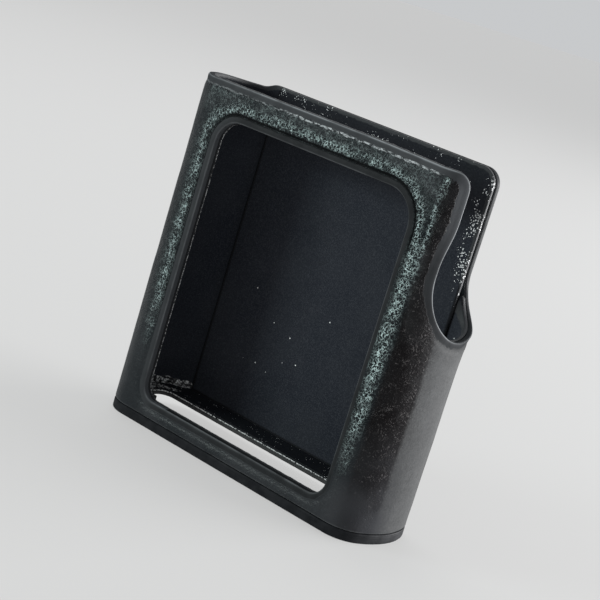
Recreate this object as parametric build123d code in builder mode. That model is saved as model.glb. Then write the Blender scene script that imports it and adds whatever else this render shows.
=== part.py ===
"""Open-topped leather sleeve for a small pocket radio: a lined and stiffened leather tube with a
display window, a thumb notch down the right-hand side and a floor with a connector slot."""
from build123d import *
from math import acos, cos, degrees, pi, sin
import os

os.makedirs("parts", exist_ok=True)

# ---- driving dimensions (millimetres) ----
width = 63.0  # over the two rounded ends
depth = 19.3  # front face to back face
corner_radius = 5.6  # upright corners, on the outside
end_radius = 15.3  # the shallow curve of each end wall

leather = 1.1  # outer wrap
board = 0.4  # stiffener behind the flat faces
lining = 0.6  # microfibre lining

sole_thickness = 1.8
base_board_thickness = 1.4
floor_board_thickness = 0.7

rim_height = 63.7  # the mouth's rim along the front and round the left end
back_rim_height = 64.3
step_low_height = 63.4  # the rim dips here before it steps up to the back
step_low_x = -29.2
step_start = -31.0
step_end = -27.0

window_left = -21.7
window_right = 22.5
window_bottom = 4.9
window_top = 57.5
window_radius_bottom = 3.0
window_radius_top_left = 4.5
window_radius_top_right = 5.5

notch_radius = 10.3  # the round bottom of the thumb notch
notch_centre_height = 46.2
notch_lean_height = 54.0  # where the notch's front edge has leaned back to its narrow width
notch_lean = 1.2
notch_stations = 25
notch_first_swing = 0.06  # radians round the half circle, where the cut begins
flap_corner_radius = 3.0  # the free top corners on each side of the notch

slot_half_width = 26.0
slot_front = 3.0  # from the front face
slot_back = 11.5
slot_radius = 2.2

sole_gap_half_width = 25.0  # the sole is cut away behind its front strip
sole_front_strip = 4.6
short_arm_end = -1.0  # the sole's left arm stops here, and its right arm runs to the back
sole_gap_radius = 2.0

margin = 3.0  # how far the cutting shapes reach past the material

# ---- values that follow from them ----
front_y = -depth / 2
back_y = depth / 2
floor_underside = sole_thickness + base_board_thickness
floor_lining_underside = floor_underside + floor_board_thickness
floor_top = floor_lining_underside + lining
lining_depth = leather + board

corner_turn = acos((depth / 2 - corner_radius) / (end_radius - corner_radius))
end_centre_x = width / 2 - end_radius
flat_half_width = end_centre_x + (end_radius - corner_radius) * sin(corner_turn)
corner_length = corner_radius * corner_turn
end_length = 2 * end_radius * (pi / 2 - corner_turn)
outline_length = 2 * corner_length + end_length


def outline_slab(inset, low, high):
    """A solid of the sleeve's plan outline moved inward by inset, between two heights."""
    turn = degrees(corner_turn)
    half = degrees(pi / 2 - corner_turn)
    with BuildPart() as slab:
        with BuildSketch(Plane.XY.offset(low)):
            with BuildLine():
                Line((0, front_y + inset), (flat_half_width, front_y + inset))
                CenterArc((flat_half_width, front_y + corner_radius), corner_radius - inset, -90, turn)
                CenterArc((end_centre_x, 0), end_radius - inset, -half, 2 * half)
                CenterArc((flat_half_width, back_y - corner_radius), corner_radius - inset, half, turn)
                Line((flat_half_width, back_y - inset), (0, back_y - inset))
                mirror(about=Plane.YZ)
            make_face()
        extrude(amount=high - low)
    return slab.part


def wall_frame(distance):
    """Origin and outward normal of the right-hand wall at a distance along its outer surface.

    The distance starts where the front flat ends and runs round the end to the back flat."""
    if distance < corner_length:
        turn = distance / corner_radius
        centre, radius = (flat_half_width, front_y + corner_radius), corner_radius
    elif distance < corner_length + end_length:
        turn = corner_turn + (distance - corner_length) / end_radius
        centre, radius = (end_centre_x, 0), end_radius
    else:
        turn = pi - (outline_length - distance) / corner_radius
        centre, radius = (flat_half_width, back_y - corner_radius), corner_radius
    normal = (sin(turn), -cos(turn), 0)
    origin = (centre[0] + radius * normal[0], centre[1] + radius * normal[1], 0)
    return origin, normal


def cross_plane(distance):
    """Upright plane across the wall: x is the wall's outward normal, y is up."""
    origin, normal = wall_frame(distance)
    return Plane(origin=origin, x_dir=normal, z_dir=(normal[1], -normal[0], 0))


def facing_plane(distance):
    """Upright plane against the wall's outer surface: x runs along the wall, y is up."""
    origin, normal = wall_frame(distance)
    return Plane(origin=origin, x_dir=(-normal[1], normal[0], 0), z_dir=normal)


def add_ring(outer_inset, inner_inset, low, high):
    """Add a closed layer of the wall between two insets; runs inside a BuildPart."""
    add(outline_slab(outer_inset, low, high))
    add(outline_slab(inner_inset, low, high), mode=Mode.SUBTRACT)


def add_flat_panel(near_y, far_y, low, high):
    """Add a sheet over the flat part of a face; runs inside a BuildPart."""
    with Locations((0, (near_y + far_y) / 2, (low + high) / 2)):
        Box(2 * flat_half_width, far_y - near_y, high - low)


def draw_square_corner(edge, top):
    """The scrap outside a rounded top corner whose free edge is on the right; inside a BuildSketch."""
    centre = (edge - flap_corner_radius, top - flap_corner_radius)
    with Locations(centre):
        Rectangle(2 * margin, 2 * margin, align=(Align.MIN, Align.MIN))
        Circle(flap_corner_radius, mode=Mode.SUBTRACT)


# ---- cutting shapes shared by the layers ----
with BuildPart() as window_cutter:
    with BuildSketch(Plane.XZ) as window_sketch:
        with Locations(((window_left + window_right) / 2, (window_bottom + window_top) / 2)):
            Rectangle(window_right - window_left, window_top - window_bottom)
        low_corners = window_sketch.vertices().group_by(Axis.Y)[0]
        fillet(low_corners, window_radius_bottom)
        left_corner = window_sketch.vertices().group_by(Axis.Y)[-1].sort_by(Axis.X)[0]
        fillet(left_corner, window_radius_top_left)
        right_corner = window_sketch.vertices().group_by(Axis.X)[-1].sort_by(Axis.Y)[-1]
        fillet(right_corner, window_radius_top_right)
    extrude(amount=depth)

# The notch's bottom is a half circle drawn on the flat leather. Its front edge leans back above that.
notch_centre = outline_length - notch_radius
notch_front = notch_centre - notch_radius
with BuildPart() as notch_cutter:
    for index in range(notch_stations):
        swing = notch_first_swing + (pi - notch_first_swing) * index / (notch_stations - 1)
        along = notch_centre - notch_radius * cos(swing)
        low = notch_centre_height - notch_radius * sin(swing)
        lean_left = 1 - (along - notch_front) / notch_lean
        high = back_rim_height + margin
        if lean_left > 0:
            high = notch_lean_height - (notch_lean_height - notch_centre_height) * lean_left
        with BuildSketch(cross_plane(along)):
            with Locations((-margin / 2, (low + high) / 2)):
                Rectangle(2 * margin, high - low)
    loft(ruled=True)

with BuildPart() as front_corner_cutter:
    with BuildSketch(facing_plane(notch_front)):
        draw_square_corner(notch_lean, rim_height)
    extrude(amount=margin, both=True)

with BuildPart() as back_corner_cutter:
    with BuildSketch(Plane.XZ.offset(-back_y)):
        draw_square_corner(flat_half_width, back_rim_height)
    extrude(amount=margin, both=True)

with BuildPart() as rim_cutter:
    scrap_top = back_rim_height + margin
    with Locations((0, front_y, rim_height)):
        Box(width + margin, depth, 2 * margin, align=(Align.CENTER, Align.CENTER, Align.MIN))
    with BuildSketch(Plane.XZ):
        with BuildLine():
            scrap_left = -width / 2 - margin
            Line((scrap_left, rim_height), (step_start, rim_height))
            Spline(
                (step_start, rim_height),
                (step_low_x, step_low_height),
                (step_end, back_rim_height),
                tangents=((1, 0), (1, 0)),
            )
            Polyline(
                (step_end, back_rim_height),
                (step_end, scrap_top),
                (scrap_left, scrap_top),
                (scrap_left, rim_height),
            )
        make_face()
    extrude(amount=-depth)

with BuildPart() as slot_cutter:
    with BuildSketch():
        with Locations((0, front_y + (slot_front + slot_back) / 2)):
            RectangleRounded(2 * slot_half_width, slot_back - slot_front, slot_radius)
    extrude(amount=2 * floor_top)

with BuildPart() as sole_gap_cutter:
    with BuildSketch():
        with Locations((0, front_y + sole_front_strip)):
            RectangleRounded(
                2 * sole_gap_half_width, 2 * depth, sole_gap_radius, align=(Align.CENTER, Align.MIN)
            )
        with Locations((0, short_arm_end)):
            Rectangle(width / 2 + margin, depth, align=(Align.MAX, Align.MIN))
    extrude(amount=floor_underside)


def cut_rim_and_notch():
    """Shape the mouth's rim and cut the thumb notch; runs inside a BuildPart."""
    for cutter in (rim_cutter, notch_cutter, front_corner_cutter, back_corner_cutter):
        add(cutter.part, mode=Mode.SUBTRACT)


def save(builder, label):
    """Label a finished piece and write it to its own file."""
    builder.part.label = label
    export_step(builder.part, f"parts/{label}.step")


# ---- the leather wrap ----
with BuildPart() as outer_wrap:
    add_ring(0, leather, sole_thickness, back_rim_height)
    cut_rim_and_notch()
    add(window_cutter.part, mode=Mode.SUBTRACT)
save(outer_wrap, "outer_wrap")

# ---- stiffeners and lining of the two flat faces ----
with BuildPart() as front_board:
    add_flat_panel(front_y + leather, front_y + lining_depth, floor_top, rim_height)
    add(window_cutter.part, mode=Mode.SUBTRACT)
save(front_board, "front_board")

with BuildPart() as front_lining:
    add_flat_panel(front_y + lining_depth, front_y + lining_depth + lining, floor_top, rim_height)
    add(window_cutter.part, mode=Mode.SUBTRACT)
save(front_lining, "front_lining")

with BuildPart() as back_board:
    add_flat_panel(back_y - lining_depth, back_y - leather, floor_top, back_rim_height)
    add(back_corner_cutter.part, mode=Mode.SUBTRACT)
save(back_board, "back_board")

with BuildPart() as back_lining:
    add_flat_panel(back_y - lining_depth - lining, back_y - lining_depth, floor_top, back_rim_height)
    add(back_corner_cutter.part, mode=Mode.SUBTRACT)
save(back_lining, "back_lining")

# ---- lining of the two rounded ends ----
with BuildPart() as left_lining:
    add_ring(leather, leather + lining, floor_top, back_rim_height)
    split(bisect_by=Plane.YZ.offset(-flat_half_width), keep=Keep.BOTTOM)
    add(rim_cutter.part, mode=Mode.SUBTRACT)
save(left_lining, "left_lining")

with BuildPart() as right_lining:
    add_ring(leather, leather + lining, floor_top, back_rim_height)
    split(bisect_by=Plane.YZ.offset(flat_half_width), keep=Keep.TOP)
    cut_rim_and_notch()
save(right_lining, "right_lining")

# ---- the bottom, from the outside in ----
with BuildPart() as sole:
    add(outline_slab(0, 0, sole_thickness))
    add(sole_gap_cutter.part, mode=Mode.SUBTRACT)
save(sole, "sole")

with BuildPart() as base_board:
    add(outline_slab(leather, sole_thickness, floor_underside))
    add(sole_gap_cutter.part, mode=Mode.SUBTRACT)
save(base_board, "base_board")

with BuildPart() as floor_board:
    add(outline_slab(leather, floor_underside, floor_lining_underside))
    add(slot_cutter.part, mode=Mode.SUBTRACT)
save(floor_board, "floor_board")

with BuildPart() as floor_lining:
    add(outline_slab(leather, floor_lining_underside, floor_top))
    add(slot_cutter.part, mode=Mode.SUBTRACT)
save(floor_lining, "floor_lining")
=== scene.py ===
"""Looks for the leather sleeve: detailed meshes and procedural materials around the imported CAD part."""
from math import acos, cos, pi, radians, sin

import bmesh
import bpy
import numpy as np
from mathutils import Matrix, Vector, noise
from mathutils.geometry import delaunay_2d_cdt


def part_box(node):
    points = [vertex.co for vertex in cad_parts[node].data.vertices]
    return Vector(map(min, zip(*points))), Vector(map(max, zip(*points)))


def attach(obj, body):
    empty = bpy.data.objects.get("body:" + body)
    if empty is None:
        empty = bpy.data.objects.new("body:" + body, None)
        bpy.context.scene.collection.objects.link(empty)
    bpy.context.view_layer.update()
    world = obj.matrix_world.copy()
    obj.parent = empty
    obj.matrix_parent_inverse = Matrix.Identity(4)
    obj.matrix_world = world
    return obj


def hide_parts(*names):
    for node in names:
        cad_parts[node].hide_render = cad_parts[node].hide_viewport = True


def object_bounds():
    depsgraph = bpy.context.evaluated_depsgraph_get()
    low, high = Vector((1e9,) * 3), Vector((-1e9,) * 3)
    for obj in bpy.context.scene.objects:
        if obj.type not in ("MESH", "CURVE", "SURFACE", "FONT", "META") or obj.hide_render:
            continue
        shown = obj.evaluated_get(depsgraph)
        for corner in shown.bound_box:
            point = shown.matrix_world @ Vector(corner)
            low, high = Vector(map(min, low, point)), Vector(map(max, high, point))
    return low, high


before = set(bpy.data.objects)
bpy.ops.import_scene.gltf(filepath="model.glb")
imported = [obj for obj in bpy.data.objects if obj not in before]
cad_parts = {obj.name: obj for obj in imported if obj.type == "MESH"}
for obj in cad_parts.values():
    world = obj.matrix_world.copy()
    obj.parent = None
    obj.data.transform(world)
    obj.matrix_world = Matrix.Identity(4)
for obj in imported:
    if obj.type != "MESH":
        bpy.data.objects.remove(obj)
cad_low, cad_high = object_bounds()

MM = 0.001

# ---- dimensions shared with the CAD part (millimetres) ----
wrap_low, wrap_high = (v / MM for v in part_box("outer_wrap"))
WIDTH = wrap_high.x - wrap_low.x
FRONT_Y, BACK_Y = wrap_low.y, wrap_high.y
WRAP_BOTTOM = wrap_low.z
BACK_RIM = wrap_high.z
FLOOR_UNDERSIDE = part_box("floor_board")[0].z / MM
FLOOR_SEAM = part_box("floor_lining")[0].z / MM
FLOOR_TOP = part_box("floor_lining")[1].z / MM
CORNER_RADIUS, END_RADIUS = 5.6, 15.3
LEATHER, BOARD, LINING = 1.1, 0.4, 0.6
WINDOW = dict(left=-21.7, right=22.5, low=4.9, high=57.5, radii=(3.0, 3.0, 5.5, 4.5))
NOTCH_RADIUS, NOTCH_CENTRE_Z, NOTCH_LEAN = 10.3, 46.2, 1.05
LEAN_START_Z, LEAN_END_Z = 47.5, 55.5
RIM_Z, FLAP_RIM_Z, FLAP_RADIUS = 63.7, 63.45, 3.0
SLOT = dict(left=-26.0, right=26.0, front=3.0, back=11.5, radius=2.2)
SOLE_GAP, SOLE_STRIP, SOLE_GAP_RADIUS, SHORT_ARM_END = 25.0, 4.6, 2.0, -1.0

DEPTH = BACK_Y - FRONT_Y
TURN = acos((DEPTH / 2 - CORNER_RADIUS) / (END_RADIUS - CORNER_RADIUS))
END_X = WIDTH / 2 - END_RADIUS
FLAT = END_X + (END_RADIUS - CORNER_RADIUS) * sin(TURN)
CORNER_RUN = CORNER_RADIUS * TURN
ROUND_RUN = 2 * CORNER_RUN + 2 * END_RADIUS * (pi / 2 - TURN)
HALF_RUN = 2 * FLAT + ROUND_RUN  # from the middle of the front to the middle of the back
NOTCH_U = FLAT + ROUND_RUN - NOTCH_RADIUS


# ---- where a point of the unrolled wall is ----
def wall_map(u, z, t):
    """Points at distance u round the outline from the front's middle, height z and depth t in the wall."""
    u, z, t = (np.asarray(a, float) for a in (u, z, t))
    s = np.abs(u) - FLAT
    front_turn = np.clip(s, 0, CORNER_RUN) / CORNER_RADIUS
    back_turn = pi - np.clip(ROUND_RUN - s, 0, CORNER_RUN) / CORNER_RADIUS
    end_turn = TURN + (s - CORNER_RUN) / END_RADIUS
    on_front, on_back = s <= CORNER_RUN, s >= ROUND_RUN - CORNER_RUN
    turn = np.where(on_front, front_turn, np.where(on_back, back_turn, end_turn))
    radius = np.where(on_front | on_back, CORNER_RADIUS, END_RADIUS) - t
    cx = np.where(on_front | on_back, FLAT, END_X)
    cy = np.where(on_front, FRONT_Y + CORNER_RADIUS, np.where(on_back, BACK_Y - CORNER_RADIUS, 0.0))
    cx = cx + np.minimum(s, 0) - np.maximum(s - ROUND_RUN, 0)
    x = cx + radius * np.sin(turn)
    y = cy - radius * np.cos(turn)
    return np.stack([np.where(u < 0, -x, x), y, z], 1)


def back_map(x, z, t):
    """Points on the back's flat lining, seen as a plain upright sheet."""
    x, z, t = (np.asarray(a, float) for a in (x, z, t))
    return np.stack([x, BACK_Y - t, z], 1)


def deck_map(top):
    """Mapping of a level sheet whose upper face is at that height."""
    def place(x, y, t):
        x, y, t = (np.asarray(a, float) for a in (x, y, t))
        return np.stack([x, y, top - t], 1)
    return place


def smooth_step(value, low, high):
    """Nought below low, one above high, and a smooth rise between."""
    x = np.clip((np.asarray(value, float) - low) / (high - low), 0, 1)
    return x * x * (3 - 2 * x)


def flare(u, z):
    """How far the thin rear lip of the notch curls outward."""
    along = np.exp(-((np.asarray(u, float) - (NOTCH_U + 6.0)) / 4.2) ** 2)
    lip_z = NOTCH_CENTRE_Z - np.sqrt(np.clip(NOTCH_RADIUS**2 - (u - NOTCH_U) ** 2, 0, None))
    return 0.75 * along * np.exp(-np.clip(lip_z - z, 0, None) / 2.2)


def soft_noise(points, scale, seed):
    """Smooth noise from -1 to 1 at each point, for features about scale millimetres long."""
    shift = Vector((seed * 17.3, seed * 5.9, seed * 11.1))
    return np.array([noise.noise(Vector(p) / scale + shift) for p in points])


# ---- outlines, each with the material on its left ----
def arc(cx, cy, radius, start, end, steps=10):
    angles = np.radians(np.linspace(start, end, steps + 1))
    return np.stack([cx + radius * np.cos(angles), cy + radius * np.sin(angles)], 1)


def resample(points, spacing, closed, blur=0.0):
    """The same line with even spacing, and its kinks rounded over about blur millimetres."""
    points = np.asarray(points, float)
    if closed:
        points = np.vstack([points, points[:1]])
    for step in (spacing / 3, spacing):
        runs = np.r_[0, np.cumsum(np.linalg.norm(np.diff(points, axis=0), axis=1))]
        count = max(8, int(round(runs[-1] / step)))
        at = np.linspace(0, runs[-1], count + 1)
        points = np.stack([np.interp(at, runs, points[:, k]) for k in (0, 1)], 1)
        if blur and step < spacing:
            half = int(3 * blur / step) + 1
            weights = np.exp(-0.5 * (np.arange(-half, half + 1) * step / blur) ** 2)
            weights /= weights.sum()
            if closed:
                ring = points[:-1]
                wide = np.vstack([ring[-half:], ring, ring[:half]])
                points = np.stack([np.convolve(wide[:, k], weights, "valid") for k in (0, 1)], 1)
                points = np.vstack([points, points[:1]])
            else:
                first, last = points[0], points[-1]
                before = 2 * first - points[half:0:-1]
                after = 2 * last - points[-2 : -half - 2 : -1]
                wide = np.vstack([before, points, after])
                points = np.stack([np.convolve(wide[:, k], weights, "valid") for k in (0, 1)], 1)
    return points[:-1] if closed else points


def rounded_box(left, right, low, high, radii):
    """Corners in the order low left, low right, high right, high left; the material is inside."""
    a, b, c, d = radii
    return np.vstack([
        arc(left + a, low + a, a, 180, 270),
        arc(right - b, low + b, b, 270, 360),
        arc(right - c, high - c, c, 0, 90),
        arc(left + d, high - d, d, 90, 180),
    ])


def window_loop(grow=0.0):
    w = WINDOW
    radii = [r + grow for r in w["radii"]]
    return rounded_box(w["left"] - grow, w["right"] + grow, w["low"] - grow, w["high"] + grow, radii)[::-1]


def rim_height(u):
    """The mouth's rim away from flap and notch: it dips on the left end, then steps up to the back."""
    u = np.asarray(u, float)
    left = RIM_Z + 0.22 * smooth_step(-u, 26, 31) - 0.55 * smooth_step(-u, 33, 46.5)
    back_x = np.sign(u) * (HALF_RUN - np.abs(u))
    back = BACK_RIM - 0.06 - 0.0045 * (back_x + FLAT)
    front = RIM_Z - (RIM_Z - FLAP_RIM_Z) * smooth_step(u, 10, 27)
    step = smooth_step(-u, 46.4, 49.2)
    return np.where(u > FLAT + ROUND_RUN, back, np.where(u < -FLAT, left * (1 - step) + back * step, front))


def mouth_line():
    """The rim from the back's middle round the left end and the front, through the notch, to the back."""
    flap_u = NOTCH_U - NOTCH_RADIUS + NOTCH_LEAN
    heel_u = NOTCH_U + NOTCH_RADIUS
    heel_top = float(rim_height(heel_u + FLAP_RADIUS))
    rim_u = np.arange(-HALF_RUN, flap_u - FLAP_RADIUS, 0.5)
    lean_z = np.linspace(LEAN_END_Z, LEAN_START_Z, 12)
    lean_u = flap_u - NOTCH_LEAN * (1 - smooth_step(lean_z, LEAN_START_Z, LEAN_END_Z))
    back_u = np.append(np.arange(heel_u + FLAP_RADIUS + 0.5, HALF_RUN, 0.5), HALF_RUN)
    return np.vstack([
        np.stack([rim_u, rim_height(rim_u)], 1),
        arc(flap_u - FLAP_RADIUS, FLAP_RIM_Z - FLAP_RADIUS, FLAP_RADIUS, 90, 0),
        np.stack([lean_u, lean_z], 1),
        arc(NOTCH_U, NOTCH_CENTRE_Z, NOTCH_RADIUS, 180, 360, 40),
        arc(heel_u + FLAP_RADIUS, heel_top - FLAP_RADIUS, FLAP_RADIUS, 180, 90),
        np.stack([back_u, rim_height(back_u)], 1),
    ])


def outline_loop(inset, steps=40):
    """The sleeve's plan outline moved inward, as (x, y)."""
    u = np.linspace(-HALF_RUN, HALF_RUN, 8 * steps, endpoint=False)
    return wall_map(u, 0 * u, 0 * u + inset)[:, :2]


# ---- a sheet with thickness, holes and rounded arrises ----
def inward(line, closed):
    """Unit vectors to the left of the line at each of its points."""
    if closed:
        run = np.roll(line, -1, 0) - np.roll(line, 1, 0)
    else:
        run = np.gradient(line, axis=0)
    run /= np.linalg.norm(run, axis=1)[:, None]
    return np.stack([-run[:, 1], run[:, 0]], 1)


def distance_to(points, line, closed):
    """Shortest distance from each point to the line."""
    ends = np.roll(line, -1, 0) if closed else line[1:]
    starts = line if closed else line[:-1]
    run = ends - starts
    length2 = (run**2).sum(1)
    best = np.full(len(points), 1e9)
    for i in range(0, len(points), 2000):
        p = points[i : i + 2000, None, :] - starts[None]
        w = np.clip((p * run).sum(2) / length2, 0, 1)
        best[i : i + 2000] = np.sqrt(((p - w[..., None] * run) ** 2).sum(2)).min(1)
    return best


def inside(points, loop):
    """Whether each point is inside the closed loop."""
    x, y = points[:, 0][:, None], points[:, 1][:, None]
    a, b = loop, np.roll(loop, -1, 0)
    straddles = (a[:, 1] > y) != (b[:, 1] > y)
    rise = np.where(b[:, 1] == a[:, 1], 1e-12, b[:, 1] - a[:, 1])
    crossing = (b[:, 0] - a[:, 0]) * (y - a[:, 1]) / rise + a[:, 0]
    return ((straddles & (x < crossing)).sum(1) % 2) == 1


def material_side(flat, tris, walls, seeds):
    """The triangles reached from the clearly inside ones without crossing a wall."""
    sharers = {}
    for i, t in enumerate(tris.tolist()):
        for a, b in ((t[0], t[1]), (t[1], t[2]), (t[2], t[0])):
            sharers.setdefault((min(a, b), max(a, b)), []).append(i)
    neighbours = {}
    for edge, pair in sharers.items():
        if edge not in walls and len(pair) == 2:
            neighbours.setdefault(pair[0], []).append(pair[1])
            neighbours.setdefault(pair[1], []).append(pair[0])
    corner = flat[tris]
    side = corner[:, 1:] - corner[:, :1]
    area = np.abs(side[:, 0, 0] * side[:, 1, 1] - side[:, 0, 1] * side[:, 1, 0])
    longest = np.linalg.norm(corner - np.roll(corner, 1, 1), axis=2).max(1)
    queue = np.flatnonzero(seeds & (area > 0.05 * longest)).tolist()
    reached = set(queue)
    while queue:
        for other in neighbours.get(queue.pop(), ()):
            if other not in reached:
                reached.add(other)
                queue.append(other)
    return np.array(sorted(reached))


def sheet_mesh(name, place, edges, thickness, spacing=0.45, grid=1.25, columns=None, arris=(0.4, 0.3),
               rings=(0.75, 1.1, 1.4, 1.8, 2.4), relief=None, warp=None, ragged=0.0, seed=1):
    """A closed mesh of a sheet. edges is a list of (line, closed, label); where the first two lines are open,
    they are the lower and upper edge of a wall that closes on itself. Returns the object; its attributes say
    how far each vertex is from each labelled edge, and how deep it is in the sheet."""
    lines = []
    for line, closed, label in edges:
        line = resample(line, spacing, closed, blur=0.25)
        side = inward(line, closed)
        if ragged:
            wave = soft_noise(np.c_[line, np.zeros(len(line))], 0.9, seed)
            fine = soft_noise(np.c_[line, np.zeros(len(line))], 0.35, seed + 1)
            line = line + side * (ragged * (wave + 0.6 * fine))[:, None]
            side = inward(line, closed)
        lines.append((line, closed, label, side))
    lip = arris[0]
    points, links, starts = [], [], []
    for line, closed, label, side in lines:
        ring = line + lip * side
        starts.append(len(points))
        n = len(ring)
        links += [(len(points) + i, len(points) + (i + 1) % n) for i in range(n if closed else n - 1)]
        points += [tuple(p) for p in ring]
    wraps = not lines[0][1]
    if wraps:
        low, high = (np.array(points[s : s + len(l[0])]) for s, l in zip(starts[:2], lines[:2]))
        outer = np.vstack([low, high])
    else:
        outer = np.array(points[: len(lines[0][0])])
    holes = [np.array(points[s : s + len(l[0])]) for s, l in zip(starts, lines)][2 if wraps else 1 :]

    extra = []
    for line, closed, label, side in lines:
        for e in rings:
            ring = line + e * side
            near = np.min([distance_to(ring, other[0], other[1]) for other in lines], 0)
            extra.append(ring[near > e - 0.03])
    lo, hi = outer.min(0), outer.max(0)
    xs = np.asarray(columns) if columns is not None else np.arange(lo[0] + grid / 2, hi[0], grid)
    ys = np.arange(lo[1] + grid / 2, hi[1], grid)
    cloud = np.stack(np.meshgrid(xs, ys), -1).reshape(-1, 2)
    far = np.min([distance_to(cloud, other[0], other[1]) for other in lines], 0)
    extra.append(cloud[far > rings[-1] + 0.35])
    extra = np.vstack(extra)
    keep = inside(extra, outer)
    for hole in holes:
        keep &= ~inside(extra, hole)
    if wraps:
        keep &= np.abs(extra[:, 0]) < HALF_RUN - 0.3
        seam_z = np.arange(low[0][1] + grid, high[-1][1] - 0.6 * grid, grid)
        for u, a, b in ((-HALF_RUN, starts[0], starts[1] + len(high) - 1),
                        (HALF_RUN, starts[0] + len(low) - 1, starts[1])):
            chain = [a] + list(range(len(points), len(points) + len(seam_z))) + [b]
            points += [(u, z) for z in seam_z]
            links += list(zip(chain, chain[1:]))
    extra = extra[keep]
    points += [tuple(p) for p in extra]
    made = delaunay_2d_cdt([Vector(p) for p in points], links, [], 0, 1e-6)
    flat = np.array([tuple(v) for v in made[0]])
    where = {}
    for new, old in enumerate(made[3]):
        for o in old:
            where[o] = new
    tris = np.array([f for f in made[2] if len(f) == 3])
    middle = flat[tris].mean(1)
    keep = inside(middle, outer)
    for hole in holes:
        keep &= ~inside(middle, hole)
    walls = {(min(where[a], where[b]), max(where[a], where[b])) for a, b in links}
    tris = tris[material_side(flat, tris, walls, keep)]

    depth = thickness(flat) if callable(thickness) else np.full(len(flat), float(thickness))
    gaps = {label: distance_to(flat, line, closed) for line, closed, label, side in lines}
    bump = relief(flat, gaps) if relief else np.zeros(len(flat))
    push = warp(flat[:, 0], flat[:, 1]) if warp else np.zeros(len(flat))
    count = len(flat)
    at = [np.c_[flat, -bump - push], np.c_[flat, depth - push]]
    level = [np.zeros(count), np.ones(count)]
    reach = {label: [gaps[label], gaps[label]] for label in gaps}
    faces = [tuple(t) for t in tris] + [tuple(t[::-1] + count) for t in tris]
    total = 2 * count
    for (line, closed, label, side), start in zip(lines, starts):
        n = len(line)
        ring = np.array([where[start + i] for i in range(n)])
        full, rise = depth[ring], bump[ring]
        shift = warp(line[:, 0], line[:, 1]) if warp else np.zeros(n)
        shape = [(lip * (1 - sin(a)), arris[0] * (1 - cos(a)), 0.0) for a in np.radians((22, 45, 68, 90))]
        shape += [(0.0, 0.0, 0.35), (0.0, 0.0, 0.68)]
        shape += [(lip * (1 - cos(a)), -arris[1] * (1 - sin(a)), 1.0) for a in np.radians((0, 30, 60))]
        previous = ring
        for e, near, share in shape:
            span = full - arris[0] - arris[1]
            if share in (0.0, 1.0):
                t = near + full * share
            else:
                t = arris[0] + span * share
            fade = 1 - t / full
            here = line + e * side
            at.append(np.c_[here, t - rise * fade - shift])
            level.append(t / full)
            for other in reach:
                reach[other].append(np.full(n, e) if other == label else gaps[other][ring])
            current = np.arange(total, total + n)
            total += n
            pairs = [(i, (i + 1) % n) for i in range(n if closed else n - 1)]
            faces += [(previous[i], current[i], current[j], previous[j]) for i, j in pairs]
            previous = current
        pairs = [(i, (i + 1) % n) for i in range(n if closed else n - 1)]
        faces += [(previous[i], ring[i] + count, ring[j] + count, previous[j]) for i, j in pairs]
    at = np.vstack(at)
    solid = place(at[:, 0], at[:, 1], at[:, 2]) * MM
    values = {"level": np.concatenate(level), **{"to_" + k: np.concatenate(v) for k, v in reach.items()}}
    return mesh_object(name, solid, faces, values)


def mesh_object(name, points, faces, values):
    """An object from points and faces, with doubled points joined and its normals outward."""
    key = np.round(points / 2e-7).astype(np.int64)
    _, first, back = np.unique(key, axis=0, return_index=True, return_inverse=True)
    back = back.reshape(-1)
    used = []
    for face in faces:
        loop = [int(back[i]) for i in face]
        loop = [v for i, v in enumerate(loop) if v != loop[i - 1]]
        if len(loop) > 2:
            used.append(loop)
    mesh = bpy.data.meshes.new(name)
    mesh.from_pydata([tuple(p) for p in points[first]], [], used)
    for label, data in values.items():
        layer = mesh.attributes.new(label, "FLOAT", "POINT")
        layer.data.foreach_set("value", np.asarray(data, np.float32)[first])
    work = bmesh.new()
    work.from_mesh(mesh)
    loose = [v for v in work.verts if not v.link_faces]
    bmesh.ops.delete(work, geom=loose, context="VERTS")
    bmesh.ops.remove_doubles(work, verts=work.verts, dist=0.002 * MM)
    bmesh.ops.recalc_face_normals(work, faces=work.faces)
    work.to_mesh(mesh)
    work.free()
    for polygon in mesh.polygons:
        polygon.use_smooth = True
    made = bpy.data.objects.new(name, mesh)
    bpy.context.scene.collection.objects.link(made)
    return made


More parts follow.
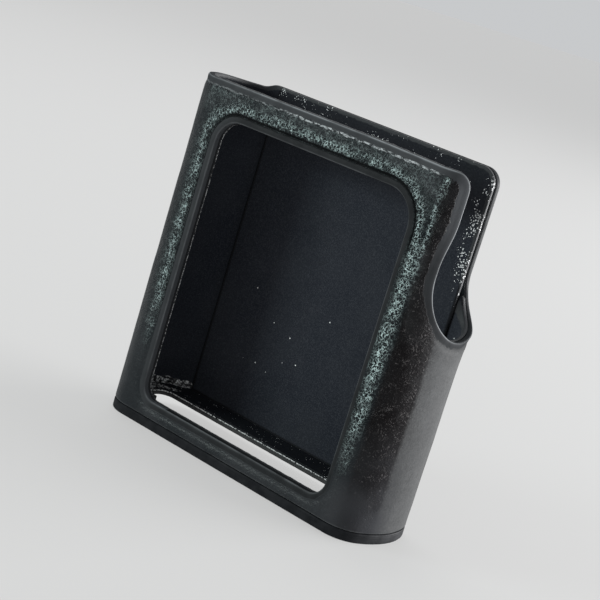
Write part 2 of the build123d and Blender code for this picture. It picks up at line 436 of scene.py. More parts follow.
# ---- materials ----
class Nodes:
    """Short calls for building one material's node tree."""

    def __init__(self, name):
        self.material = bpy.data.materials.new(name)
        self.material.use_nodes = True
        self.tree = self.material.node_tree
        self.shader = self.tree.nodes["Principled BSDF"]
        self.place = self.tree.nodes.new("ShaderNodeTexCoord").outputs["Object"]

    def link(self, source, socket):
        if hasattr(source, "is_output"):
            self.tree.links.new(source, socket)
        else:
            socket.default_value = source

    def set(self, **values):
        for name, value in values.items():
            self.link(value, self.shader.inputs[name.replace("_", " ")])

    def node(self, kind, **inputs):
        made = self.tree.nodes.new("ShaderNode" + kind)
        for name, value in inputs.items():
            if name in made.inputs:
                self.link(value, made.inputs[name])
            else:
                setattr(made, name, value)
        return made

    def scaled(self, size, stretch=(1, 1, 1)):
        """Object coordinates where one unit is size millimetres."""
        made = self.node("Mapping", Vector=self.place)
        made.inputs["Scale"].default_value = [s / (size * MM) for s in stretch]
        return made.outputs["Vector"]

    def noise(self, size, detail=3.0, rough=0.5, distortion=0.0, stretch=(1, 1, 1)):
        made = self.node("TexNoise", Vector=self.scaled(size, stretch), Scale=1.0, Detail=detail,
                         Roughness=rough, Distortion=distortion)
        return made.outputs["Fac"]

    def math(self, operation, a, b=0.0, c=0.0, clamp=False):
        made = self.tree.nodes.new("ShaderNodeMath")
        made.operation, made.use_clamp = operation, clamp
        for socket, value in zip(made.inputs, (a, b, c)):
            self.link(value, socket)
        return made.outputs[0]

    def span(self, value, low, high, to_low=0.0, to_high=1.0, smooth=True):
        made = self.tree.nodes.new("ShaderNodeMapRange")
        made.interpolation_type = "SMOOTHSTEP" if smooth else "LINEAR"
        for name, v in (("Value", value), ("From Min", low), ("From Max", high),
                        ("To Min", to_low), ("To Max", to_high)):
            self.link(v, made.inputs[name])
        return made.outputs[0]

    def peak(self, value, middle, half):
        """One where value is middle, falling to nought half away from it."""
        return self.span(self.math("ABSOLUTE", self.math("SUBTRACT", value, middle)), 0.0, half, 1.0, 0.0)

    def product(self, first, *others):
        for other in others:
            first = self.math("MULTIPLY", first, other)
        return first

    def total(self, first, *others):
        for other in others:
            first = self.math("ADD", first, other)
        return first

    def swing(self, value, reach):
        """A noise value turned into a swing to both sides of nought."""
        return self.product(self.math("SUBTRACT", value, 0.5), reach)

    def cells(self, size):
        """Scattered spots: the distance to the nearest one, and that spot's own random number."""
        made = self.node("TexVoronoi", feature="F1", Vector=self.scaled(size), Scale=1.0)
        return made.outputs["Distance"], self.node("SeparateColor", Color=made.outputs["Color"]).outputs[0]

    def mix(self, share, a, b, kind="RGBA"):
        made = self.tree.nodes.new("ShaderNodeMix")
        made.data_type = kind
        for name, value in (("Factor", share), ("A", a), ("B", b)):
            socket = next(s for s in made.inputs if s.name == name and s.enabled)
            self.link(value if hasattr(value, "is_output") or name == "Factor" else (*value, 1.0), socket)
        return next(s for s in made.outputs if s.enabled)

    def attribute(self, name):
        return self.node("Attribute", attribute_name=name).outputs["Fac"]

    def height(self):
        """How high a point is, in metres."""
        return self.node("SeparateXYZ", Vector=self.place).outputs["Z"]

    def bump(self, height, strength, reach, normal=None):
        """reach is the height in millimetres that a change of one stands for."""
        made = self.node("Bump", Height=height, Strength=strength, Distance=reach * MM)
        if normal is not None:
            self.link(normal, made.inputs["Normal"])
        return made.outputs["Normal"]


# leather colours
TEAL_HIDE, BROWN_HIDE = (0.0034, 0.006, 0.0076), (0.0032, 0.0024, 0.0027)
CREASE_SHADE, LOW_PAINTED_LIGHT_GREY, GRITTY = (0.0006, 0.0008, 0.001), (0.026, 0.027, 0.03), (0.085, 0.08, 0.08)
# colours of the painted sheen on the right-hand end
SHEEN_PAINT_DARK, SHEEN_PAINT_PALE = (0.008, 0.0085, 0.0095), (0.052, 0.053, 0.054)
GLINTING = (0.42, 0.55, 0.54)
PAINT_DARK, PAINT_LIGHT = (0.006, 0.0068, 0.0076), (0.017, 0.018, 0.0195)
PAINT_PALE, ARRIS_HIGHLIGHT_GREY, PAINT_EDGE_HIGHLIGHT_GREY = (0.055, 0.059, 0.064), (0.2, 0.21, 0.22), (0.4, 0.42, 0.43)
# distances on the leather, in millimetres
CREASE_GAP, CREASE_HALF = 1.5, 0.5  # from the window's edge to the crease, and half the crease's width
EDGE_HIGHLIGHT_GAP, EDGE_HIGHLIGHT_HALF = 1.3, 0.28  # from the rim to the line of painted highlights at the paint's edge, and half that line's width
SHEEN_PALE_BELOW, SHEEN_DARK_ABOVE = 30, 42  # heights on the right-hand end: its painted sheen is paler below the first, darker above the second


def leather_material():
    """Black grained leather: painted edges, a crease with painted shade and crinkled glints by the window,
    painted highlights on the arrises, painted sheen on the right-hand end and painted light low on the front.
    """
    n = Nodes("grained_leather")
    crushed = n.noise(0.8, rough=0.6, distortion=1.2, stretch=(1, 1, 1.15))
    folds = n.node("TexNoise", noise_type="RIDGED_MULTIFRACTAL", Vector=n.scaled(1.35, (1, 1, 0.8)),
                   Scale=1.0, Detail=3.0, Roughness=0.55, Distortion=0.5).outputs["Fac"]
    crinkle = n.noise(0.5, rough=0.6, distortion=2.2, stretch=(1, 1, 0.8))
    sway = n.node("TexNoise", Vector=n.scaled(0.7), Scale=1.0, Detail=2.0).outputs["Color"]
    wrinkles = n.node("TexVoronoi", feature="DISTANCE_TO_EDGE", Scale=1.0,
                      Vector=n.mix(0.35, n.scaled(0.46), sway, "VECTOR")).outputs["Distance"]
    clumps = n.noise(1.9, rough=0.6)
    fine = n.noise(0.2, detail=2.0)
    broad = n.noise(9.0)
    patches = n.noise(3.0, detail=2.0)
    streaks = n.noise(0.42, detail=5.0, rough=0.65, distortion=0.8, stretch=(0.6, 1, 1.4))
    ragged = n.math("SUBTRACT", n.noise(0.9, detail=4.0), 0.5)
    shoulder = n.attribute("shoulder")

    reach = n.total(n.attribute("band"), n.product(ragged, n.attribute("ragged")))
    painted = n.span(reach, -0.12, 0.12)
    bare = n.math("SUBTRACT", 1.0, painted)
    by_window = n.total(n.attribute("to_window"), n.product(ragged, 0.3))
    crease = n.product(n.peak(by_window, CREASE_GAP, CREASE_HALF), n.attribute("creased"))
    by_rim = n.total(n.attribute("to_rim"), n.product(ragged, 0.6))
    # painted highlights in ragged blotches along the edge of the rim's painted band
    paint_edge_highlight = n.product(n.peak(by_rim, EDGE_HIGHLIGHT_GAP, EDGE_HIGHLIGHT_HALF), n.attribute("paint_edge_highlight_share"),
                      n.span(streaks, 0.46, 0.56))
    # painted highlight: a pale line along the outer arris of the cut edges, broken in places
    highlight_breaks = n.span(n.noise(4.0), 0.25, 0.65, 0.25, 0.9)
    arris_highlight = n.product(n.peak(n.attribute("level"), 0.11, 0.13), highlight_breaks, n.attribute("arris_highlight"))
    ridges = n.product(n.span(wrinkles, 0.02, 0.11, 1.0, 0.0), n.span(crinkle, 0.42, 0.5))
    flecks = n.math("MAXIMUM", n.span(crinkle, 0.55, 0.605), ridges)
    glint = n.product(flecks, n.attribute("glint"), bare, n.span(clumps, 0.34, 0.6, 0.25, 1.25),
                      n.span(crease, 0.0, 0.8, 1.0, 0.0))
    uneven = n.total(n.product(patches, 0.7), n.product(crinkle, 0.6), -0.65)
    # satin: painted sheen on the right-hand end, a reflection painted into the colour; the leather is also
    # rougher there
    satin = n.span(n.total(n.attribute("satin"), uneven), 0.2, 0.95)
    low_painted_light = n.product(n.attribute("low_painted_light"), n.span(broad, 0.35, 0.6, 0.4, 1.0))
    grit = n.product(n.span(crinkle, 0.56, 0.66), n.span(clumps, 0.4, 0.6, 0.2, 1.0), shoulder,
                     n.attribute("gritty"))
    sheen_paint_lift = n.total(n.span(n.height(), SHEEN_PALE_BELOW * MM, SHEEN_DARK_ABOVE * MM, 0.6, 0.0),
                     n.span(crinkle, 0.35, 0.65, 0.0, 0.4))

    hide = n.mix(n.span(n.total(shoulder, n.swing(patches, 0.5)), 0.3, 0.8), TEAL_HIDE, BROWN_HIDE)
    hide = n.mix(grit, hide, GRITTY)
    # painted shade in the crease beside the window
    hide = n.mix(crease, hide, CREASE_SHADE)
    # the painted sheen is paler lower down
    hide = n.mix(satin, hide, n.mix(sheen_paint_lift, SHEEN_PAINT_DARK, SHEEN_PAINT_PALE))
    # painted reflection on the lower right-hand front corner and painted light low on the front
    hide = n.mix(low_painted_light, hide, LOW_PAINTED_LIGHT_GREY)
    hide = n.mix(glint, hide, GLINTING)
    paint = n.mix(n.noise(1.6, detail=4.0), PAINT_DARK, PAINT_LIGHT)
    # paler paint: painted light on the rim's top faces and the window's left cut wall, and a paler flap and
    # left band
    paint = n.mix(n.attribute("pale"), paint, PAINT_PALE)
    colour = n.mix(arris_highlight, n.mix(painted, hide, paint), ARRIS_HIGHLIGHT_GREY)
    n.set(Base_Color=n.mix(n.math("MULTIPLY", paint_edge_highlight, 1.9, clamp=True), colour, PAINT_EDGE_HIGHLIGHT_GREY))

    hide_rough = n.total(n.span(crushed, 0.35, 0.7, 0.32, 0.22), n.span(broad, 0.3, 0.7, -0.03, 0.05),
                         n.product(satin, 0.1))
    paint_rough = n.span(n.noise(2.2), 0.3, 0.7, 0.55, 0.72)
    n.set(Roughness=n.total(n.product(hide_rough, bare), n.product(paint_rough, painted)))
    shine = n.product(bare, n.span(shoulder, 0.0, 1.0, 0.1, 0.045), n.span(crease, 0.0, 1.0, 1.0, 0.12))
    shine = n.total(shine, n.product(glint, 0.9), n.product(painted, 0.07))
    n.set(Specular_IOR_Level=n.product(shine, n.span(n.attribute("dull"), 0.0, 1.0, 1.0, 0.2)))
    grain = n.total(n.product(folds, 0.35), n.product(crushed, 1.5), n.product(fine, 0.2))
    coarse = n.bump(n.product(grain, bare, n.attribute("grain")), 1.0, 0.5)
    n.set(Normal=n.bump(n.total(n.noise(0.5), n.product(painted, 0.4)), 0.5, 0.03, coarse))
    return n.material


# lining colours
CLOTH_DARK, CLOTH_LIGHT, CLOTH_NAP = (0.009, 0.0115, 0.0175), (0.015, 0.0175, 0.0235), (0.042, 0.046, 0.054)
CLOTH_SHADED, CUT_EDGE, MOUTH_PAINT = (0.0015, 0.002, 0.003), (0.012, 0.013, 0.015), (0.02, 0.0215, 0.024)
FUZZ, CRUMBS = (0.62, 0.63, 0.63), (0.7, 0.71, 0.71)
GLUE, GLUE_DULL, GLUE_BRIGHT = (0.02, 0.021, 0.022), (0.09, 0.093, 0.096), (0.75, 0.76, 0.76)
DIM_FROM, DIM_TO = 50, 60  # heights between which painted shade darkens the lining towards the mouth


def lining_material(name, dusty=0.0, shade=1.0, fuzz_width=0.4, gloss=0.15):
    """Blue-black microfibre with dust, dried glue and frayed, partly painted cut edges, and painted shade
    towards the mouth and in the creases at its edges.
    """
    n = Nodes(name)
    nap = n.noise(0.22, detail=4.0, rough=0.65)
    cloud = n.noise(11.0, detail=4.0, rough=0.6)
    edge, level = n.attribute("edge"), n.attribute("level")
    colour = n.mix(n.span(cloud, 0.3, 0.7), CLOTH_DARK, CLOTH_LIGHT)
    colour = n.mix(n.span(nap, 0.42, 0.7, 0.0, 0.6), colour, CLOTH_NAP)
    # painted shade: darker towards the mouth, in the creases at the edges, and all over by shade
    lit = n.product(n.span(n.height(), DIM_FROM * MM, DIM_TO * MM, 1.0, 0.45), shade,
                    n.span(edge, 0.1, 0.6, 0.1, 1.0))
    colour = n.mix(lit, CLOTH_SHADED, colour)

    cut = n.product(n.span(edge, 0.05, 0.3, 1.0, 0.0), n.math("LESS_THAN", level, 0.97))
    by_mouth = n.total(n.attribute("mouth"), n.product(n.noise(0.7), 0.6))
    cut = n.math("MAXIMUM", cut, n.span(by_mouth, 0.75, 0.95, 1.0, 0.0))
    colour = n.mix(cut, colour, CUT_EDGE)
    colour = n.mix(n.span(by_mouth, 0.8, 1.0, 1.0, 0.0), colour, MOUTH_PAINT)
    by_edge = n.total(edge, n.product(n.noise(0.5), 0.5))
    fuzz_reach = n.span(by_edge, fuzz_width, fuzz_width + 0.2, 1.0, 0.0)
    fuzz = n.product(fuzz_reach, n.span(n.noise(0.3), 0.44, 0.54), n.math("GREATER_THAN", level, 0.6),
                     n.attribute("fray"))
    colour = n.mix(fuzz, colour, FUZZ)

    speck_gap, speck_number = n.cells(1.5)
    speck_size = n.span(speck_number, 0.955 - 0.055 * dusty, 1.0, 0.0, 0.1, smooth=False)
    speck = n.math("LESS_THAN", speck_gap, speck_size)
    crumb_gap, crumb_number = n.cells(0.28)
    drift = n.span(n.noise(2.2, detail=2.0), 0.35, 0.6, 0.35, 1.15)
    crumb_size = n.product(crumb_number, n.attribute("dust"), drift)
    crumb_size = n.span(crumb_size, 0.4, 0.9, 0.0, 0.5, smooth=False)
    broken_gap = n.total(crumb_gap, n.span(n.noise(0.13, detail=2.0), 0.3, 0.7, -0.12, 0.22))
    crumb = n.product(n.math("LESS_THAN", broken_gap, crumb_size), n.math("GREATER_THAN", crumb_size, 0.04))
    colour = n.mix(n.math("MAXIMUM", speck, crumb), colour, CRUMBS)

    glue = n.span(n.total(n.attribute("glue"), n.swing(n.noise(1.3), 1.3)), 0.45, 0.6)
    beads = n.product(glue, n.span(n.noise(0.8, stretch=(1, 1, 1.6)), 0.47, 0.56))
    bead_colour = n.mix(n.span(n.noise(0.35), 0.38, 0.6), GLUE_DULL, GLUE_BRIGHT)
    n.set(Base_Color=n.mix(beads, n.mix(glue, colour, GLUE), bead_colour),
          Roughness=n.product(n.span(cut, 0.0, 1.0, 0.95, 0.55), n.span(glue, 0.0, 1.0, 1.0, 0.25)))
    lumps = n.total(n.product(glue, n.noise(1.1)), n.product(nap, 0.15))
    n.set(Normal=n.bump(lumps, 0.8, 0.3), Specular_IOR_Level=n.span(glue, 0.0, 1.0, gloss, 0.8),
          Sheen_Weight=gloss / 3, Sheen_Roughness=0.6)
    return n.material


def sole_material():
    """Thick leather seen on its cut edge: dark, satin and faintly layered."""
    n = Nodes("sole_edge")
    layers = n.noise(0.5, detail=4.0, stretch=(0.12, 0.12, 1.6))
    blotch = n.noise(2.4, detail=4.0)
    n.set(Base_Color=n.mix(n.span(blotch, 0.3, 0.7), (0.006, 0.0067, 0.008), (0.0135, 0.0142, 0.016)),
          Roughness=n.span(layers, 0.3, 0.7, 0.55, 0.72))
    coarse = n.bump(layers, 0.6, 0.08)
    n.set(Normal=n.bump(n.noise(0.25), 0.5, 0.03, coarse), Specular_IOR_Level=0.07)
    return n.material


def card_material():
    """Black fibre board."""
    n = Nodes("fibre_board")
    fibres = n.noise(0.35, detail=4.0, rough=0.7, stretch=(0.4, 1.0, 1.0))
    n.set(Base_Color=n.mix(n.span(fibres, 0.35, 0.7), (0.010, 0.010, 0.011), (0.03, 0.03, 0.03)),
          Roughness=n.span(fibres, 0.3, 0.7, 0.7, 0.88), Normal=n.bump(fibres, 0.8, 0.06))
    return n.material


def add_attribute(piece, name, values):
    layer = piece.data.attributes.new(name, "FLOAT", "POINT")
    layer.data.foreach_set("value", np.asarray(values, np.float32))


def read_attribute(piece, name):
    values = np.zeros(len(piece.data.vertices), np.float32)
    piece.data.attributes[name].data.foreach_get("value", values)
    return values.astype(float)


def place_of(piece):
    """Vertex positions in millimetres."""
    values = np.zeros(3 * len(piece.data.vertices), np.float32)
    piece.data.vertices.foreach_get("co", values)
    return values.reshape(-1, 3).astype(float) / MM


def dress(piece, material, slot, *nodes):
    """Give a finished piece its material and hide the CAD nodes it stands for; the slot is not used."""
    piece.data.materials.clear()
    piece.data.materials.append(material)
    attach(piece, "root")
    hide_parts(*nodes)
    return piece


# ---- the leather ----
RIM_BAND, WINDOW_BAND, RING_GAP = 1.35, 1.15, 2.45  # widths of the painted bands; window to the glints' ring


def leather_relief(flat, gaps):
    """The face stands a little above the pressed band along its edges, and is never quite even."""
    near = np.minimum(gaps["rim"], gaps["window"])
    groove = -0.07 * np.exp(-((near - 1.3) / 0.22) ** 2)
    pressed = -0.13 * (1 - smooth_step(near, 1.0, 2.4))
    points = np.c_[flat, 0 * near]
    uneven = 0.05 * soft_noise(points, 7.0, 3) + 0.03 * soft_noise(points, 2.6, 4)
    top_strip = smooth_step(flat[:, 1], 58.0, 61.0) * (np.abs(flat[:, 0]) < FLAT)
    crumple = 0.07 * top_strip * soft_noise(points * (1.0, 1.6, 1.0), 1.7, 5)
    away = smooth_step(near, 0.6, 2.0) * (1 - smooth_step(np.abs(flat[:, 0]), HALF_RUN - 4, HALF_RUN - 0.2))
    return groove + pressed + (uneven + crumple) * away


def wall_depth(flat):
    """Leather alone round the ends, leather and board on the flats."""
    u = np.abs(flat[:, 0])
    back_start = FLAT + ROUND_RUN
    on_board = 1 - smooth_step(u, FLAT - 0.6, FLAT) + smooth_step(u, back_start, back_start + 0.6)
    return LEATHER + BOARD * on_board


def wall_columns():
    """Distances round the outline, closer together where the wall curves more."""
    half = [0.6]
    while half[-1] < HALF_RUN - 0.5:
        s = half[-1] - FLAT
        tight = -0.6 < s < CORNER_RUN + 0.6 or ROUND_RUN - CORNER_RUN - 0.6 < s < ROUND_RUN + 0.6
        step = 0.55 if tight else 0.95 if 0 < s < ROUND_RUN else 1.25
        half.append(half[-1] + step)
    half = [h for h in half if h < HALF_RUN - 0.4]
    return np.array([-h for h in half[::-1]] + half)


mouth = mouth_line()
foot = np.array([(-HALF_RUN, WRAP_BOTTOM), (HALF_RUN, WRAP_BOTTOM)])
wrap = sheet_mesh(
    "leather_wrap", wall_map,
    [(foot, False, "foot"), (mouth[::-1], False, "rim"), (window_loop(), True, "window")],
    wall_depth, columns=wall_columns(), relief=leather_relief, warp=flare)


def mark_leather(piece):
    """Say at every vertex how painted, creased and crinkled the leather is there, and where it gets painted
    shade, glints, highlights, sheen and light.
    """
    x, y, z = place_of(piece).T
    to_rim, to_window, level = (read_attribute(piece, k) for k in ("to_rim", "to_window", "level"))
    on_left = smooth_step(-x, 19.0, 22.5)
    on_right = smooth_step(x, 21.5, 22.5) * (1 - smooth_step(z, 44, 52))
    face = (1 - smooth_step(y, FRONT_Y + 0.3, FRONT_Y + 3.0)) * (level < 0.3)
    low = 1 - smooth_step(z, 9.0 + 3.0 * on_left, 21.0 + 9.0 * on_left)
    flap = smooth_step(x, 26.5, 29.5) * smooth_step(-y, 1.0, 6.0) * smooth_step(z, 40, 46)

    # painted bands along the rim and the window, and paint on the cut walls between the two faces
    rim_band = RIM_BAND + 0.75 * flap - 0.4 * smooth_step(y, -4, 4)
    band = np.maximum(rim_band - to_rim, WINDOW_BAND - 0.25 * on_right - to_window)
    band = np.where(level > 0.15, np.maximum(band, 0.6) * (level < 0.97) - (level >= 0.97), band)
    # painted light: paler paint on the rim's top faces and on the window's left cut wall
    rim_painted_light = 0.12 * (to_rim < 1.2) * (y > 0) + 0.35 * (to_rim < 1.6) * (y < 0) * (z > 48)
    left_wall_painted_light = 1.0 * (level > 0.12) * (level < 0.9) * (to_window < 1.0) * (x < -15)
    left_band = 0.28 * (level <= 0.12) * (to_window < 1.6) * smooth_step(-x, 17, 21)
    flap_pale = flap * (0.35 + 0.45 * smooth_step(z, 48, 60))
    # the painted highlight on the rim's arris grows towards the right and fades on the flap
    rim_arris_highlight = (1.2 + 0.9 * smooth_step(x, 6, 22)) * (1 - 0.6 * smooth_step(x, 26, 29))

    # glints: a ring beside the window, and a line where the front starts to curve round to the right
    ring_middle = RING_GAP + 0.2 * on_right
    ring_width = 0.72 + 0.18 * on_left + on_right * (0.48 - 0.38 * smooth_step(z, 34, 42))
    dimmed = 0.36 * on_left + 0.3 * on_right * (1 - smooth_step(z, 18, 38))
    ring = np.exp(-(((to_window - ring_middle) / ring_width) ** 2))
    ring = ring * (1 - 0.32 * smooth_step(z, 52, 58)) * (1 - dimmed)
    curve_x = FLAT + 1.25 + 0.04 * (z - 44)
    curve_line = np.exp(-(((x - curve_x) / 0.3) ** 2)) * smooth_step(z, 36.0, 42.0)
    top_strip = 0.11 * smooth_step(z, 57.5, 59.5)
    glint = np.maximum(np.maximum.reduce([1.15 * ring, curve_line, top_strip]), 0.06) * (1 - 0.99 * low)
    front_only = (1 - smooth_step(x, curve_x + 0.5, curve_x + 1.2)) * smooth_step(x, -27.0, -25.4)

    # how deep the grain is, where the painted sheen and the low painted light lie, and where it is dull
    grain = 0.2 * (1 - 0.7 * low * face) - 0.08 * smooth_step(x, FLAT + 2.0, FLAT + 3.5)
    grain = grain + (0.34 + 0.42 * ring) * face * smooth_step(x, -29, -26) * (1 - 0.92 * low)
    grain = grain - 0.13 * smooth_step(y, -6.0, -3.0) * smooth_step(np.abs(x), 27.5, 29.0)
    # satin: where the right-hand end gets its painted sheen
    satin = smooth_step(y, -5.4, -3.2) * smooth_step(x, 27.5, 29.0) * (1 - smooth_step(y, 5, 8))
    # painted reflection on the lower right-hand front corner
    corner_painted_reflection = (1 - smooth_step(z, 4, 22)) * smooth_step(x, 19, 27) * (1 - smooth_step(y, -5, 0))
    left_corner = smooth_step(-x, 26.3, 28.6) * (1 - smooth_step(y, -2, 3))
    notch_foot = smooth_step(x, 27, 29) * (1 - smooth_step(to_rim, 1.6, 3.0)) * (1 - smooth_step(z, 44, 50))

    marks = dict(
        band=band,
        shoulder=smooth_step(x, FLAT + 0.2, FLAT + 3.5),
        creased=face * (1 - low) * (1 - 0.55 * on_left) * (1 - 0.75 * on_right),
        dull=np.maximum(left_corner, 0.8 * notch_foot),
        grain=grain,
        gritty=(x > 0) * (1 - smooth_step(y, 0, 4)),
        ragged=np.where(to_window < to_rim, 0.35, 1.1),
        glint=glint * face * front_only,
        satin=satin,
        # painted light low on the front, with the corner's painted reflection
        low_painted_light=np.maximum(corner_painted_reflection, 0.55 * low * face),
        # painted highlight on the arrises, fainter towards the back
        arris_highlight=(1 - 0.8 * smooth_step(y, -1, 4)) * np.where(to_rim < to_window, rim_arris_highlight, 0.5),
        pale=np.maximum.reduce([flap_pale, rim_painted_light, left_wall_painted_light, left_band]),
        # where the painted highlights along the rim's band lie
        paint_edge_highlight_share=face * (0.2 + 0.8 * smooth_step(x, -14, 4)) * (z > 55) * (1 - smooth_step(x, 24.5, 26.5)),
    )
    for name, values in marks.items():
        add_attribute(piece, name, values)


mark_leather(wrap)
dress(wrap, leather_material(), "outer_leather", "outer_wrap", "front_board", "back_board")


# ---- the linings ----
def mouth_gap(spots):
    """How far each point of the wall is from the mouth's edge, measured along the wall."""
    x, y, z = spots.T
    end_turn = np.arctan2(np.abs(x) - END_X, -y)
    end_run = CORNER_RUN + END_RADIUS * (end_turn - TURN)
    on_flat = np.where(y < 0, np.abs(x), HALF_RUN - np.abs(x))
    u = np.sign(x) * np.where(np.abs(x) < FLAT, on_flat, FLAT + np.clip(end_run, 0, ROUND_RUN))
    return distance_to(np.c_[u, z], mouth, False)


def line_piece(name, place, edges, node, material, fray=None, dust=None, **options):
    """A lining: a sheet of cloth with its cut edges, fuzz, dust and dried glue marked. fray and dust take the
    vertices in millimetres."""
    piece = sheet_mesh(name, place, edges, LINING, arris=(0.12, 0.16), rings=THIN_RINGS, **options)
    spots = place_of(piece)
    none = np.zeros(len(spots))
    near = np.min([read_attribute(piece, "to_" + label) for _, _, label in edges], 0)
    glue_gap = np.min([distance_to(spots[:, :2], np.array(line), False) for line in GLUE_LINES], 0)
    marks = dict(
        edge=near,
        fray=fray(spots) if fray else none,
        dust=dust(spots) if dust else none,
        mouth=mouth_gap(spots),
        glue=(1 - smooth_step(glue_gap, 0.2, 1.8)) * (1 - smooth_step(spots[:, 2], *GLUE_TOP)),
    )
    for label, values in marks.items():
        add_attribute(piece, label, values)
    return dress(piece, material, "microfibre", node)


def at_depth(place, start):
    """The same mapping with its depths counted from start."""
    return lambda a, b, t: place(a, b, np.asarray(t, float) + start)


def panel_loop(low_u, high_u, low_z, top):
    """A closed loop with its material inside, whose upper side follows top."""
    side = np.append(np.arange(low_u, high_u, 0.5), high_u)
    upper = np.stack([side, top(side)], 1)
    return np.vstack([[(low_u, low_z), (high_u, low_z)], upper[::-1]])


GAP = 0.12  # open crease between neighbouring linings
TOP_GAP = 0.03  # the linings stop this far below the leather's rim
THIN_RINGS = (0.4, 0.8, 1.3)  # distances from a thin sheet's edge where its mesh follows that edge
GLUE_TOP = (4.9, 6.3)  # heights between which the dried glue ends
# dried glue in the left end's corner and beside the slot's left end, in plan
GLUE_LINES = ([(-29.8, 1.0), (-29.0, 4.4), (-26.2, 7.6)], [(-27.2, -2.0), (-27.2, 1.0), (-25.0, 2.6)])
CLOTH = lining_material("microfibre_lining")
DUSTY = lining_material("microfibre_dusty", dusty=1.0)
FLOOR_CLOTH = lining_material("microfibre_floor", dusty=0.6, shade=0.35, fuzz_width=0.8, gloss=0.02)


def lining_top(u):
    return rim_height(u) - TOP_GAP


def front_fray(spots):
    """Fuzz round the front lining's window, thickest on its left side, and none at the mouth."""
    x, _, z = spots.T
    return (0.25 + 0.75 * smooth_step(-x, 0, 6) * smooth_step(z, 3, 12)) * (z < 58.5)


front_edges = [
    (panel_loop(-FLAT + GAP, FLAT - GAP, FLOOR_TOP, lining_top), True, "outer"),
    (window_loop(), True, "window"),
]
line_piece("lining_front", at_depth(wall_map, LEATHER + BOARD), front_edges, "front_lining", CLOTH,
           fray=front_fray, ragged=0.05)


def back_dust(spots):
    """White specks gather on the back lining beside the notch and, fewer, along its top."""
    x, _, z = spots.T
    beside = smooth_step(x, 20.5, 24.0) * smooth_step(z, 34, 46)
    return np.maximum(1.25 * beside, (0.68 + 0.2 * (x < -18)) * smooth_step(z, 57.0, 60.5))


def back_top(x):
    """Top of the back's flat lining, with its round corner by the notch."""
    x = np.asarray(x, float)
    u = np.where(x > 0, HALF_RUN, -HALF_RUN) - x
    drop = np.clip(x - (FLAT - FLAP_RADIUS), 0, FLAP_RADIUS)
    return lining_top(u) - (FLAP_RADIUS - np.sqrt(FLAP_RADIUS**2 - drop**2))


back_loop = panel_loop(-FLAT + GAP, FLAT - 0.04, FLOOR_TOP, back_top)
lining_back = line_piece("lining_back", at_depth(back_map, LEATHER + BOARD), [(back_loop, True, "outer")],
                         "back_lining", DUSTY, dust=back_dust, ragged=0.03, seed=7)
left_loop = panel_loop(-FLAT - ROUND_RUN + GAP, -FLAT - GAP, FLOOR_TOP, lining_top)
lining_left = line_piece("lining_left", at_depth(wall_map, LEATHER), [(left_loop, True, "outer")],
                         "left_lining", CLOTH, columns=wall_columns(), seed=9)

low_u, high_u = FLAT + GAP, FLAT + ROUND_RUN - GAP
HEEL_CUT = 0.6  # the right lining stops short here, where its strip gets narrower than its own edges
in_notch = (mouth[:, 0] > low_u) & (mouth[:, 0] < high_u - HEEL_CUT)
notch_side = mouth[in_notch] - (0.0, TOP_GAP)
right_loop = np.vstack([
    [(low_u, FLOOR_TOP), (high_u, FLOOR_TOP), (high_u, notch_side[-1][1])],
    notch_side[::-1],
    [(low_u, notch_side[0][1])],
])
lining_right = line_piece("lining_right", at_depth(wall_map, LEATHER), [(right_loop, True, "outer")],
                          "right_lining", CLOTH, columns=wall_columns(), warp=flare, seed=11)

# ---- the floor and the sole ----
slot_loop = rounded_box(SLOT["left"], SLOT["right"], FRONT_Y + SLOT["front"], FRONT_Y + SLOT["back"],
                        [SLOT["radius"]] * 4)[::-1]
FLOOR_INSET = LEATHER + 0.03
CARD_ARRIS = (0.08, 0.08)
SEAM = 0.02  # open seam between the sole, the filler board and the floor's card


def floor_fray(spots):
    """Fuzz along the slot and in front of it, but not in the round ends."""
    x, y, _ = spots.T
    return 1.0 * (y < FRONT_Y + SLOT["back"] + 1.0) * (np.abs(x) < 28)


def floor_dust(spots):
    return np.full(len(spots), 0.62)


floor_edges = [(outline_loop(FLOOR_INSET), True, "outer"), (slot_loop, True, "slot")]
floor_cloth = line_piece("floor_cloth", deck_map(FLOOR_TOP), floor_edges, "floor_lining", FLOOR_CLOTH,
                         fray=floor_fray, dust=floor_dust, ragged=0.07, seed=13)
card = card_material()
floor_card = sheet_mesh("floor_card", deck_map(FLOOR_SEAM), floor_edges, FLOOR_SEAM - FLOOR_UNDERSIDE,
                        arris=CARD_ARRIS, rings=THIN_RINGS, ragged=0.05, seed=15)
dress(floor_card, card, "stiffener", "floor_board")


def horseshoe(inset):
    """Plan of the sole: a strip along the front with a long arm on the right and a short one on the left."""
    arm_turn = acos(-SHORT_ARM_END / END_RADIUS)
    u = np.linspace(-FLAT - CORNER_RUN - END_RADIUS * (arm_turn - TURN), FLAT + ROUND_RUN, 300)
    ring = wall_map(u, 0 * u, 0 * u + inset)[:, :2]
    gap_front, r = FRONT_Y + SOLE_STRIP, SOLE_GAP_RADIUS
    inner = np.vstack([
        arc(SOLE_GAP - r, gap_front + r, r, 360, 270),
        arc(-SOLE_GAP + r, gap_front + r, r, 270, 180),
        [(-SOLE_GAP, SHORT_ARM_END)],
    ])
    return np.vstack([ring, inner])


sole_top = WRAP_BOTTOM - SEAM
sole = sheet_mesh("sole_leather", deck_map(sole_top), [(horseshoe(0.0), True, "outer")], sole_top,
                  arris=(0.22, 0.3), rings=(0.6, 1.0), ragged=0.03, seed=17)
dress(sole, sole_material(), "sole_leather", "sole")
base = sheet_mesh("base_card", deck_map(FLOOR_UNDERSIDE - SEAM / 2),
                  [(horseshoe(LEATHER + SEAM), True, "outer")], FLOOR_UNDERSIDE - WRAP_BOTTOM - SEAM,
                  arris=CARD_ARRIS, rings=(0.4, 0.8), seed=19)
dress(base, card, "stiffener", "base_board")

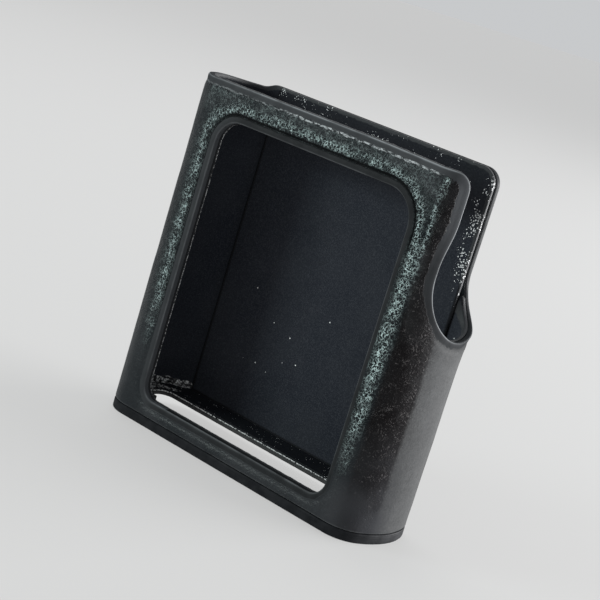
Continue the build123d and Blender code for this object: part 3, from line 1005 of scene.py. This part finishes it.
# ---- camera, floor and light ----
centre = (cad_low + cad_high) / 2
VIEW_AZIMUTH, VIEW_ELEVATION, VIEW_ROLL = radians(37.07), radians(11.54), radians(17.12)
VIEW_DISTANCE, LENS = 0.2846, 97.95
aim = centre + Vector((-0.4, -0.35, -0.58)) * MM
back_axis = Vector((sin(VIEW_AZIMUTH) * cos(VIEW_ELEVATION), -cos(VIEW_AZIMUTH) * cos(VIEW_ELEVATION),
                    sin(VIEW_ELEVATION)))
camera_data = bpy.data.cameras.new("camera")
camera_data.lens, camera_data.sensor_width = LENS, 36.0
camera_data.clip_start, camera_data.clip_end = 0.01, 20.0
camera = bpy.data.objects.new("camera", camera_data)
bpy.context.scene.collection.objects.link(camera)
level_right = Vector((0, 0, 1)).cross(back_axis).normalized()
level_up = back_axis.cross(level_right)
right = cos(VIEW_ROLL) * level_right + sin(VIEW_ROLL) * level_up
up = -sin(VIEW_ROLL) * level_right + cos(VIEW_ROLL) * level_up
turned = Matrix((right, up, back_axis)).transposed().to_4x4()
camera.matrix_world = Matrix.Translation(aim + back_axis * VIEW_DISTANCE) @ turned
bpy.context.scene.camera = camera

FLOOR_RADIUS, FLOOR_SIDES = 8.0, 96
turns = [2 * pi * i / FLOOR_SIDES for i in range(FLOOR_SIDES)]
rim = [(FLOOR_RADIUS * cos(turn), FLOOR_RADIUS * sin(turn), 0.0) for turn in turns]
floor_mesh = bpy.data.meshes.new("floor")
floor_mesh.from_pydata(rim, [], [tuple(range(FLOOR_SIDES))])
floor = bpy.data.objects.new("floor", floor_mesh)
bpy.context.scene.collection.objects.link(floor)
paper = Nodes("pale_paper")
paper.set(Base_Color=(0.15, 0.15, 0.149, 1.0), Roughness=0.9, Emission_Color=(1.0, 1.0, 0.995, 1.0),
          Emission_Strength=0.45)
floor_mesh.materials.append(paper.material)

world = bpy.data.worlds.new("studio")
bpy.context.scene.world = world
world.use_nodes = True
sky = world.node_tree.nodes["Background"].inputs
sky["Color"].default_value, sky["Strength"].default_value = (0.96, 0.98, 1.0, 1.0), 0.6


def softbox(name, place, size, power, colour=(1.0, 1.0, 1.0)):
    """A rectangular light that looks at the object's middle."""
    data = bpy.data.lights.new(name, "AREA")
    data.shape, data.size, data.size_y = "RECTANGLE", size[0], size[1]
    data.energy, data.color = power, colour
    lamp = bpy.data.objects.new(name, data)
    bpy.context.scene.collection.objects.link(lamp)
    lamp.location = Vector(place)
    lamp.visible_camera = False
    lamp.rotation_mode = "QUATERNION"
    lamp.rotation_quaternion = (lamp.location - centre).to_track_quat("Z", "Y")
    return lamp


softbox("key_above", (-0.35, 0.25, 0.9), (0.5, 0.5), 3.0)
softbox("strip_front_left", (-0.42, -0.52, 0.16), (0.3, 0.16), 2.8, (0.88, 1.0, 0.98))
softbox("rear_glow", (0.64, 0.77, 0.14), (1.2, 0.26), 36.0)
bpy.context.scene.view_settings.view_transform = "Standard"
